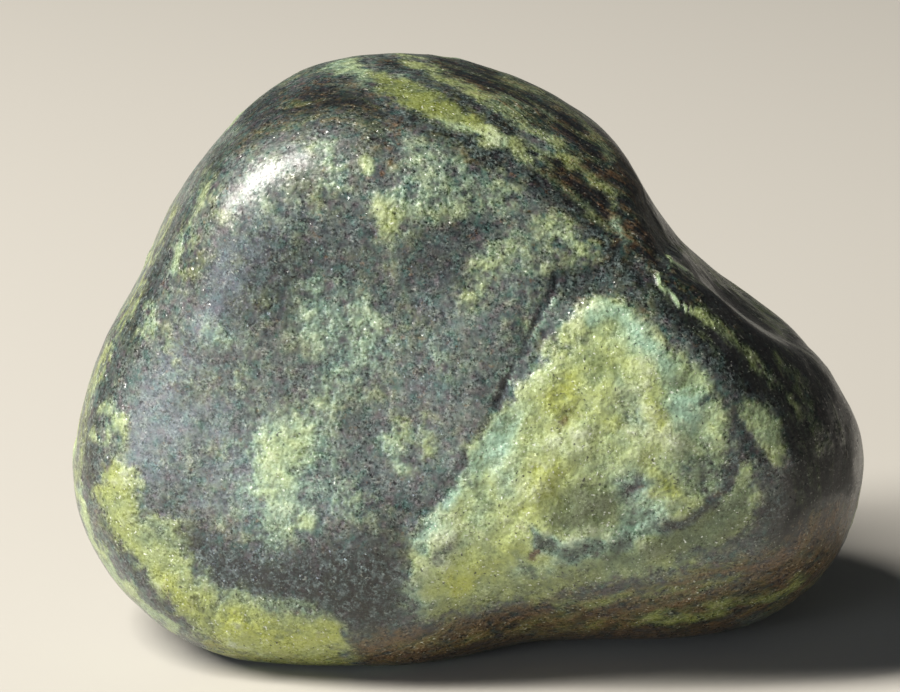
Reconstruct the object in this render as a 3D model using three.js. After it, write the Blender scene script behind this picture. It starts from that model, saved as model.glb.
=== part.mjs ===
// A palm-sized pebble of serpentine, all of one piece: rounded lobes that run into each other, faces
// worn flat by tumbling, a notch between the crown and the heel, a shallow fold across the front, and
// a flat face that it rests on.
// Millimetres. +X runs along the longest extent, +Y to the back, +Z up, and the origin is the middle
// of the stone's box at the level of the surface that it rests on.

import * as THREE from 'three';
import { mergeVertices } from 'three/addons/utils/BufferGeometryUtils.js';

// Rounded lobes: the centre, the half sizes, the roll about Y in degrees, the squareness (2 is an
// ellipsoid, more is boxier), and the width over which the lobe runs into those before it.
const lobes = {
  body: { at: [-5.8, -0.2, 17.4], size: [16.4, 18, 18.9], roll: 17.8, squareness: 2.48, blend: 9 },
  crown: { at: [2.4, 0.2, 21], size: [15.1, 16, 11.3], roll: 42.2, squareness: 2.8, blend: 9 },
  foot: { at: [-13.5, -1.2, 11.2], size: [11.9, 14, 11.3], roll: 0, squareness: 2, blend: 9 },
  cheek: { at: [9.5, -4.5, 20], size: [11, 11.6, 9], roll: 38, squareness: 2.3, blend: 6 },
  heel: { at: [11.8, -0.2, 11.4], size: [13.9, 17.5, 11.1], roll: 2.6, squareness: 2.25, blend: 9 },
};

// Faces worn flat: which way each one looks, as degrees round from the front towards +X and degrees
// up, how far it lies from the hub, and how wide its rounded edge is.
const hub = [0, -1.7, 16.8];
const wornFaces = {
  frontLeft: { azimuth: -13, elevation: 9, distance: 14.8, edge: 8 },
  front: { azimuth: -2, elevation: 8, distance: 14.2, edge: 8 },
  underFront: { azimuth: 14, elevation: -38, distance: 18.1, edge: 5 },
  topRight: { azimuth: 22, elevation: 50, distance: 17.5, edge: 6 },
  back: { azimuth: 172, elevation: 8, distance: 17, edge: 9 },
  backRight: { azimuth: 132, elevation: 16, distance: 21, edge: 9 },
  backLeft: { azimuth: 216, elevation: 12, distance: 20, edge: 9 },
};

// What is worn out of the notch between the crown and the heel: one long scoop from front to back,
// and a small pocket under the crown's edge.
const hollows = {
  scoop: { at: [32, -6, 41.5], size: [23.8, 140, 23.1], tilt: -8, squareness: 2, edge: 1.5 },
  pocket: { at: [14.2, -8.8, 30.1], size: [2.6, 7, 4.8], roll: -24, squareness: 2, edge: 1 },
};

// A shallow fold that runs from the notch across the front and then down.
const fold = {
  route: [[11.2, -11.6, 27.4], [8.2, -12.4, 27], [5.4, -13.8, 25.8], [4.2, -14.4, 23.6], [2.4, -14.8, 19.8]],
  depth: 0.3,
  halfWidth: 1.3,
};

// Gentle swells left by uneven wear, as waves that cross: the way each one runs, its length, its
// height and its phase in radians.
const swells = [
  { along: [0.62, 0.36, -0.7], length: 19, height: 0.15, phase: 3.4 },
  { along: [-0.3, 0.88, 0.36], length: 15, height: 0.17, phase: 2.3 },
  { along: [0.75, -0.55, 0.37], length: 12, height: 0.11, phase: 2 },
  { along: [0.15, 0.45, 0.88], length: 9.5, height: 0.07, phase: 2.7 },
];

// The resting face is cut flat at z = 0, where the underside is already nearly level.
const levelling = { depth: 0.2, edge: 1.6 };

// Every point of the surface is in plain sight of the core, and none is further from it than reach. It
// is found to within the tolerance.
const core = new THREE.Vector3(-2, 0, 15);
const reach = 40;
const tolerance = 1e-5;

// Each of the icosahedron's 20 faces is parted in (faceSplits + 1) squared triangles.
const faceSplits = 20;

// Smaller of a and b, with the corner between them filled over the given width.
function smoothMin(a, b, width) {
  const overlap = Math.max(width - Math.abs(a - b), 0) / width;
  return Math.min(a, b) - (overlap ** 3 * width) / 6;
}

function smoothMax(a, b, width) {
  return -smoothMin(-a, -b, width);
}

// A lobe ready to measure from: vectors, and the turn that takes the stone's frame into the lobe's.
function readyLobe(lobe) {
  const turn = new THREE.Euler(
    THREE.MathUtils.degToRad(lobe.tilt ?? 0),
    THREE.MathUtils.degToRad(lobe.roll ?? 0),
    0,
  );
  return {
    ...lobe,
    at: new THREE.Vector3(...lobe.at),
    turnBack: new THREE.Quaternion().setFromEuler(turn).invert(),
  };
}

// Distance from a lobe, to first order: how far its superellipsoid level is above 1, over the steepness.
function lobeDistance(point, lobe) {
  const local = point.clone().sub(lobe.at).applyQuaternion(lobe.turnBack);
  const shares = local.toArray().map((part, axis) => Math.abs(part / lobe.size[axis]));
  const power = lobe.squareness;
  const level = shares.reduce((sum, share) => sum + share ** power, 0) ** (1 / power);
  const slopes = shares.map((share, axis) => (share / level) ** (power - 1) / lobe.size[axis]);
  return (level - 1) / Math.hypot(...slopes);
}

function facing(azimuth, elevation) {
  const round = THREE.MathUtils.degToRad(azimuth);
  const up = THREE.MathUtils.degToRad(elevation);
  return new THREE.Vector3(
    Math.sin(round) * Math.cos(up),
    -Math.cos(round) * Math.cos(up),
    Math.sin(up),
  );
}

// A worn face as a plane: the side it looks to, and how far it is from the origin along that.
function readyFace(face) {
  const normal = facing(face.azimuth, face.elevation);
  return { normal, offset: normal.dot(new THREE.Vector3(...hub)) + face.distance, edge: face.edge };
}

const readyLobes = Object.values(lobes).map(readyLobe);
const readyHollows = Object.values(hollows).map(readyLobe);
const readyFaces = Object.values(wornFaces).map(readyFace);
const readySwells = swells.map((swell) => ({ ...swell, along: new THREE.Vector3(...swell.along) }));
const foldPoints = fold.route.map((point) => new THREE.Vector3(...point));

// The fold is a groove with a bell-shaped section round its route.
function foldDepth(point) {
  const nearest = new THREE.Vector3();
  let distance = Infinity;
  for (let i = 1; i < foldPoints.length; i += 1) {
    new THREE.Line3(foldPoints[i - 1], foldPoints[i]).closestPointToPoint(point, true, nearest);
    distance = Math.min(distance, nearest.distanceTo(point));
  }
  return fold.depth * Math.exp(-((distance / fold.halfWidth) ** 2));
}

function swellDepth(point) {
  const wave = (swell) => Math.sin((2 * Math.PI * point.dot(swell.along)) / swell.length + swell.phase);
  return readySwells.reduce((sum, swell) => sum + swell.height * wave(swell), 0);
}

// The stone's form as a field that is negative inside: the lobes joined, then the worn faces, the
// hollows, the fold and the swells taken off, then the underside levelled.
function formField(point) {
  let field = lobeDistance(point, readyLobes[0]);
  for (const lobe of readyLobes.slice(1)) {
    field = smoothMin(field, lobeDistance(point, lobe), lobe.blend);
  }
  for (const face of readyFaces) {
    field = smoothMax(field, point.dot(face.normal) - face.offset, face.edge);
  }
  for (const hollow of readyHollows) {
    field = smoothMax(field, -lobeDistance(point, hollow), hollow.edge);
  }
  field += foldDepth(point) + swellDepth(point);
  return smoothMax(field, -(point.z + levelling.depth), levelling.edge);
}

// How far the form's surface is from the core along a direction, by halving the stretch it lies in.
function surfaceDistance(direction) {
  let inside = 0;
  let outside = reach;
  while (outside - inside > tolerance) {
    const middle = (inside + outside) / 2;
    if (formField(core.clone().addScaledVector(direction, middle)) < 0) {
      inside = middle;
    } else {
      outside = middle;
    }
  }
  return inside;
}

// Where a direction from the core meets the stone: on the form, or on the resting face if that is nearer.
function surfacePoint(direction) {
  const formDistance = surfaceDistance(direction);
  const floorDistance = direction.z < 0 ? core.z / -direction.z : Infinity;
  const point = core.clone().addScaledVector(direction, Math.min(formDistance, floorDistance));
  if (floorDistance <= formDistance) {
    point.z = 0;
  }
  return point;
}

// The stone: a finely split icosahedron with every corner pushed out to the surface, and its box
// centred on the origin.
function stoneGeometry() {
  const ball = new THREE.IcosahedronGeometry(1, faceSplits);
  ball.deleteAttribute('normal');
  ball.deleteAttribute('uv');
  const geometry = mergeVertices(ball, tolerance);
  const positions = geometry.getAttribute('position');
  const direction = new THREE.Vector3();
  for (let i = 0; i < positions.count; i += 1) {
    direction.fromBufferAttribute(positions, i).normalize();
    positions.setXYZ(i, ...surfacePoint(direction).toArray());
  }
  geometry.computeBoundingBox();
  const middle = geometry.boundingBox.getCenter(new THREE.Vector3());
  geometry.translate(-middle.x, -middle.y, 0);
  geometry.computeVertexNormals();
  return geometry;
}

// Dark blue-green serpentine, worn to a soft sheen.
const serpentine = new THREE.MeshStandardMaterial({ color: 0x6f786c, roughness: 0.5, metalness: 0 });

const stone = new THREE.Mesh(stoneGeometry(), serpentine);
stone.name = 'stone';

const group = new THREE.Group();
group.add(stone);

export default group;
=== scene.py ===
from functools import partial, reduce
import math

import bpy
import numpy as np
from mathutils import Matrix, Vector


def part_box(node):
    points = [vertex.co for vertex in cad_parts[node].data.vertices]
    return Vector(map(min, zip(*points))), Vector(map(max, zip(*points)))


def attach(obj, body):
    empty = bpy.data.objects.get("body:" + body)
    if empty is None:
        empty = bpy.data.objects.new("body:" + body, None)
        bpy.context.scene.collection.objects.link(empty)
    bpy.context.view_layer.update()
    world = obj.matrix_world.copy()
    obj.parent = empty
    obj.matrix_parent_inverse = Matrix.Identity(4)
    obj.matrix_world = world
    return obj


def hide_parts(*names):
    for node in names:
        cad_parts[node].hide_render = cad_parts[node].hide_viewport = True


# A palm-sized pebble of serpentine on a pale table. Metres in Blender; the dictionaries are in millimetres
# and degrees, and millimetre turns the one into the other.
millimetre = 0.001
tiny = 1e-9    # keeps what is divided by, or raised to a power, above 0

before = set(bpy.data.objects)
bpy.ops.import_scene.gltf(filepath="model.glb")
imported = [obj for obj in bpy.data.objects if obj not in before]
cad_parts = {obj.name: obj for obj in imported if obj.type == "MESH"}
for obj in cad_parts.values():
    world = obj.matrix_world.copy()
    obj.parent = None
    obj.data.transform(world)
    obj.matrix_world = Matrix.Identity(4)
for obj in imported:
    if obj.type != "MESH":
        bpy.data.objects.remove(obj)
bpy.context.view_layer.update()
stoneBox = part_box("stone")
print("frame loaded: the stone's box is", [round(side / millimetre, 2) for side in stoneBox[1] - stoneBox[0]])


# The stone's form, the same as its solid's. Lobes and hollows: centre, half sizes, tilt about X and roll
# about Y, squareness (2 is an ellipsoid), and the width over which one runs into those before it. Worn
# faces: azimuth from the front towards +X, elevation, distance from the hub, width of the rounded edge.
stoneForm = {
    "lobes": {
        "body": ((-5.8, -0.2, 17.4), (16.4, 18, 18.9), (0, 17.8), 2.48, 9),
        "crown": ((2.4, 0.2, 21), (15.1, 16, 11.3), (0, 42.2), 2.8, 9),
        "foot": ((-13.5, -1.2, 11.2), (11.9, 14, 11.3), (0, 0), 2, 9),
        "cheek": ((9.5, -4.5, 20), (11, 11.6, 9), (0, 38), 2.3, 6),
        "heel": ((11.8, -0.2, 11.4), (13.9, 17.5, 11.1), (0, 2.6), 2.25, 9),
    },
    "hub": (0, -1.7, 16.8),
    "wornFaces": {
        "frontLeft": (-13, 9, 14.8, 8),
        "front": (-2, 8, 14.2, 8),
        "underFront": (14, -38, 18.1, 5),
        "topRight": (22, 50, 17.5, 6),
        "back": (172, 8, 17, 9),
        "backRight": (132, 16, 21, 9),
        "backLeft": (216, 12, 20, 9),
    },
    "hollows": {
        "scoop": ((32, -6, 41.5), (23.8, 140, 23.1), (-8, 0), 2, 1.5),
        "pocket": ((14.2, -8.8, 30.1), (2.6, 7, 4.8), (0, -24), 2, 1),
    },
    "foldRoute": [
        (11.2, -11.6, 27.4), (8.2, -12.4, 27), (5.4, -13.8, 25.8), (4.2, -14.4, 23.6), (2.4, -14.8, 19.8),
    ],
    "foldDepth": 0.3,
    "foldHalfWidth": 1.3,
    "swells": [  # direction, length, height, phase
        ((0.62, 0.36, -0.7), 19, 0.15, 3.4),
        ((-0.3, 0.88, 0.36), 15, 0.17, 2.3),
        ((0.75, -0.55, 0.37), 12, 0.11, 2),
        ((0.15, 0.45, 0.88), 9.5, 0.07, 2.7),
    ],
    "levelDepth": 0.2,
    "levelEdge": 1.6,
    "core": (-2, 0, 15),
    "reach": 40,
    "cells": 128,        # squares along each edge of the shell: 128 gives 196,608 triangles
    "quickCells": 96,
    "tolerance": 1e-4,
    "slopeStep": 0.02,   # how far to either side the field is read for its slope
}


# Smaller of a and b, with the corner between them filled over the width.
def smoothMin(a, b, width):
    overlap = np.maximum(width - np.abs(a - b), 0) / width
    return np.minimum(a, b) - overlap**3 * width / 6


# Larger of a and b, with the corner between them cut off over the width.
def smoothMax(a, b, width):
    return -smoothMin(-a, -b, width)


# 0 below low, 1 above high, and 3t^2 - 2t^3 between them.
def smoothStep(value, low, high):
    part = np.clip((value - low) / (high - low), 0, 1)
    return part * part * (3 - 2 * part)


# Turn about X (tilt), then about Y (roll), as a matrix that row vectors are multiplied by to undo it.
def turnMatrix(tilt, roll):
    t, r = np.radians([tilt, roll])
    aboutX = np.array([[1, 0, 0], [0, np.cos(t), -np.sin(t)], [0, np.sin(t), np.cos(t)]])
    aboutY = np.array([[np.cos(r), 0, np.sin(r)], [0, 1, 0], [-np.sin(r), 0, np.cos(r)]])
    return aboutX @ aboutY


# Distance from a lobe, to first order: how far its superellipsoid level is above 1, over the steepness.
def lobeDistance(points, centre, size, turn, power):
    local = (points - centre) @ turnMatrix(*turn)
    shares = np.abs(local / size) + tiny
    level = (shares**power).sum(-1) ** (1 / power)
    slopes = (shares / level[..., None]) ** (power - 1) / size
    return (level - 1) / np.linalg.norm(slopes, axis=-1)


# Unit vector that looks round by azimuth from the front towards +X, and up by elevation.
def facing(azimuth, elevation):
    a, e = np.radians([azimuth, elevation])
    return np.array([np.sin(a) * np.cos(e), -np.cos(a) * np.cos(e), np.sin(e)])


# Distance from each point to the nearest place on a line through the given points, in any number of
# dimensions: the least over its stretches, each one's place being clamped to its ends.
def lineDistance(points, route):
    route = np.atleast_2d(np.array(route, float))
    nearest = np.linalg.norm(points - route[0], axis=-1)
    for start, end in zip(route[:-1], route[1:]):
        along = end - start
        share = np.clip(((points - start) @ along) / max(along @ along, tiny), 0, 1)
        nearest = np.minimum(nearest, np.linalg.norm(points - start - share[..., None] * along, axis=-1))
    return nearest


# The form as a field that is negative inside: lobes joined, then worn faces, hollows, fold and swells
# taken off, then the underside levelled.
def formField(points):
    form = stoneForm
    field = None
    for *lobe, blend in form["lobes"].values():
        distance = lobeDistance(points, *lobe)
        field = distance if field is None else smoothMin(field, distance, blend)
    for azimuth, elevation, distance, edge in form["wornFaces"].values():
        field = smoothMax(field, (points - form["hub"]) @ facing(azimuth, elevation) - distance, edge)
    for *hollow, edge in form["hollows"].values():
        field = smoothMax(field, -lobeDistance(points, *hollow), edge)
    fromFold = lineDistance(points, form["foldRoute"]) / form["foldHalfWidth"]
    field = field + form["foldDepth"] * np.exp(-(fromFold**2))
    for along, length, height, phase in form["swells"]:
        field = field + height * np.sin(2 * np.pi * (points @ np.array(along)) / length + phase)
    return smoothMax(field, -(points[..., 2] + form["levelDepth"]), form["levelEdge"])


# Where directions from the core meet the stone: the form's surface by halving the stretch it lies in, or
# the resting face at z = 0 where that is nearer.
def surfacePoints(directions):
    core = np.array(stoneForm["core"], float)
    inside = np.zeros(len(directions))
    outside = np.full(len(directions), float(stoneForm["reach"]))
    halvings = math.ceil(math.log2(stoneForm["reach"] / stoneForm["tolerance"]))
    for halving in range(halvings):
        middle = (inside + outside) / 2
        within = formField(core + directions * middle[:, None]) < 0
        inside = np.where(within, middle, inside)
        outside = np.where(within, outside, middle)
    down = directions[:, 2] < 0
    floorDistance = np.where(down, -core[2] / np.where(down, directions[:, 2], -1), np.inf)
    points = core + directions * np.minimum(inside, floorDistance)[:, None]
    onFloor = floorDistance <= inside
    points[onFloor, 2] = 0
    return points, onFloor


# Outward unit normal of the form: the field's slope from differences a short step to either side.
def formNormals(points, onFloor):
    steps = stoneForm["slopeStep"] * np.eye(3)
    normals = np.stack([formField(points + step) - formField(points - step) for step in steps], -1)
    normals /= np.linalg.norm(normals, axis=-1, keepdims=True)
    normals[onFloor] = (0, 0, -1)
    return normals


# A cube's six sides as grids of squares that share the corners along their edges. Each corner becomes a
# direction: the tangent of evenly spaced angles keeps the squares about the same size on a ball.
def cubeShell(cells):
    steps = np.arange(cells + 1)
    a, b = np.meshgrid(steps, steps, indexing="ij")
    corners = []
    squares = []
    first = 0
    for axis in range(3):
        for end in (0, cells):
            corners.append(np.roll(np.stack([np.full_like(a, end), a, b], -1), axis, axis=-1).reshape(-1, 3))
            index = first + np.arange(a.size).reshape(a.shape)
            ring = [index[:-1, :-1], index[1:, :-1], index[1:, 1:], index[:-1, 1:]]
            ring = ring if end else ring[::-1]
            squares.append(np.stack(ring, -1).reshape(-1, 4))
            first += a.size
    corners = np.concatenate(corners)
    keys = corners @ np.array([1, cells + 1, (cells + 1) ** 2])
    kept, merged = np.unique(keys, return_index=True, return_inverse=True)[1:]
    directions = np.tan((corners[kept] / cells * 2 - 1) * np.pi / 4)
    directions /= np.linalg.norm(directions, axis=-1, keepdims=True)
    return directions, merged.reshape(-1)[np.concatenate(squares)]


# The lattice of the noise: how many random slopes its corners share, the numbers that a corner's place is
# multiplied by to pick one, and what takes the blended slopes, of about -0.6 to 0.6, to about -1 to 1.
noiseLattice = {
    "slopes": 4096,
    "picks": (73856093, 19349663, 83492791),
    "gain": 1.6,
}


# Smooth noise of about -1 to 1: every corner of a lattice of cells has a random slope, and a point blends
# the eight slopes round it with the fade 6t^5 - 15t^4 + 10t^3.
def slopeNoise(points, cell, seed):
    slopes = np.random.default_rng(seed).normal(size=(noiseLattice["slopes"], 3))
    slopes /= np.linalg.norm(slopes, axis=-1, keepdims=True)
    scaled = points / cell
    base = np.floor(scaled).astype(np.int64)
    part = scaled - base
    fade = part**3 * (part * (part * 6 - 15) + 10)
    total = np.zeros(len(points))
    for corner in np.ndindex(2, 2, 2):
        place = (base + corner) * noiseLattice["picks"]
        slope = slopes[np.bitwise_xor.reduce(place, axis=1) % len(slopes)]
        weight = np.prod(np.where(corner, fade, 1 - fade), axis=-1)
        total += weight * ((part - corner) * slope).sum(-1)
    return total * noiseLattice["gain"]


# Octaves of noise, each half the cell of the one before and keep times its height, over their sum.
def layeredNoise(points, cell, octaves, keep, seed):
    heights = keep ** np.arange(octaves)
    layers = [height * slopeNoise(points, cell / 2**i, seed + i) for i, height in enumerate(heights)]
    return sum(layers) / np.sqrt((heights**2).sum())


# About the middle of the front: the eye that lays out the marks, the camera and the lights look at it.
frontMiddle = (-1.1, 1.3, 18.3)

# The eye that lays out the marks, which are millimetres right and up of the point that it looks at.
layoutEye = {
    "azimuth": 0,
    "elevation": 17,
    "distance": 260,
    "warp": [(1.7, 0.27, 51), (0.8, 0.2, 61), (0.45, 0.12, 66)],  # cell, shift and seed of the uneven edges
    "thin": (1.3, 1.5, 68),     # cell, share and seed of how a line swells and thins out
    "grazing": 0.1,             # how squarely the surface faces the eye where marks have come in fully
    "frontEnd": 0.15,           # and where the bodies and bands of the stone's other sides have gone
}


# A mark that is an area inside an outline. Its edge is soft over some millimetres to either side.
def area(soft, places, **values):
    return {"outline": places, "soft": soft, **values}


# A mark that is a line of a half width, with the same soft edge.
def line(width, soft, places, **values):
    return {"line": places, "width": width, "soft": soft, **values}


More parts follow.
